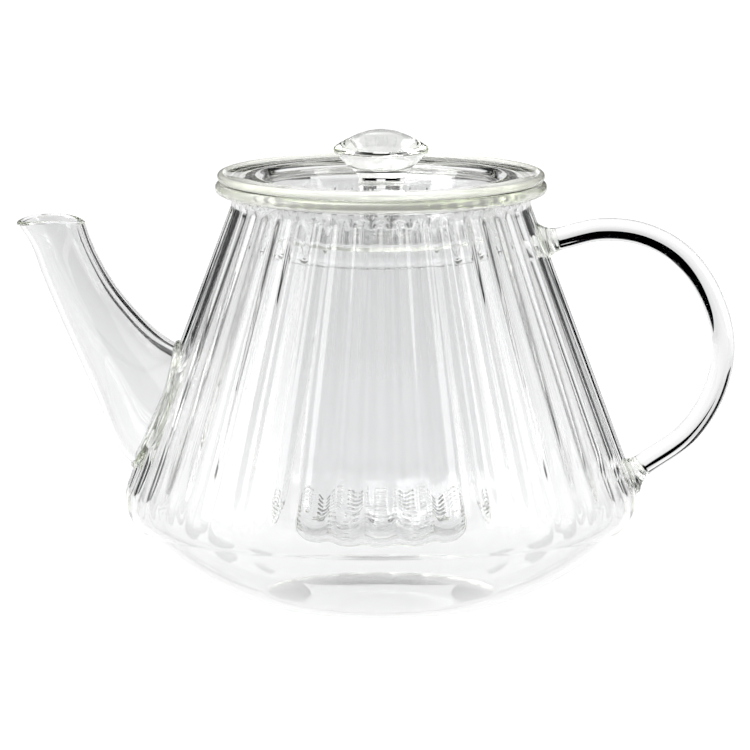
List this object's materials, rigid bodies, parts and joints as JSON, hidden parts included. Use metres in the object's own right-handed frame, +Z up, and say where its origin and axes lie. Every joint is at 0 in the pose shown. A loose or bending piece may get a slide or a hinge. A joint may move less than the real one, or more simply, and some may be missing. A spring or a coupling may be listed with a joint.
{
  "type": "teapot",
  "caption": "Clear glass teapot: ribbed conical body with a fused tube spout and rod loop handle, a lift-out glass infuser with a slit foot, and a dished lid with a pointed knob",
  "frame": {"origin": "The middle of the flat base, on the table.", "axes": "+Z is up. +X points from the middle of the pot towards the handle, so the spout points along -X. +Y points to the back, away from the side that the picture shows."},
  "size_m": [0.2331, 0.1664, 0.1544],
  "materials": {
    "clear_glass": "fire-polished clear borosilicate glass, 2 mm wall",
    "weld_glass": "clear glass bead melted between two fused pieces, slightly uneven",
    "rod_glass": "solid clear glass rod, fire-polished",
    "infuser_glass": "fire-polished clear borosilicate glass with ground slits",
    "lid_glass": "fire-polished clear glass with a rolled edge",
    "knob_glass": "solid clear glass, fire-polished"
  },
  "bodies": {
    "pot": {"pot_body": "clear_glass", "spout": "clear_glass", "spout_weld": "weld_glass", "handle": "rod_glass", "handle_upper_weld": "weld_glass", "handle_lower_weld": "weld_glass"},
    "infuser": {"infuser_basket": "infuser_glass"},
    "lid": {"lid_plate": "lid_glass", "lid_knob": "knob_glass"}
  },
  "joints": [
    {"name": "infuser_lift", "type": "slide", "parent": "pot", "child": "infuser", "axis": [0, 0, 1], "range_m": [0, 0.13]},
    {"name": "lid_lift", "type": "slide", "parent": "infuser", "child": "lid", "axis": [0, 0, 1], "range_m": [0, 0.06]}
  ]
}
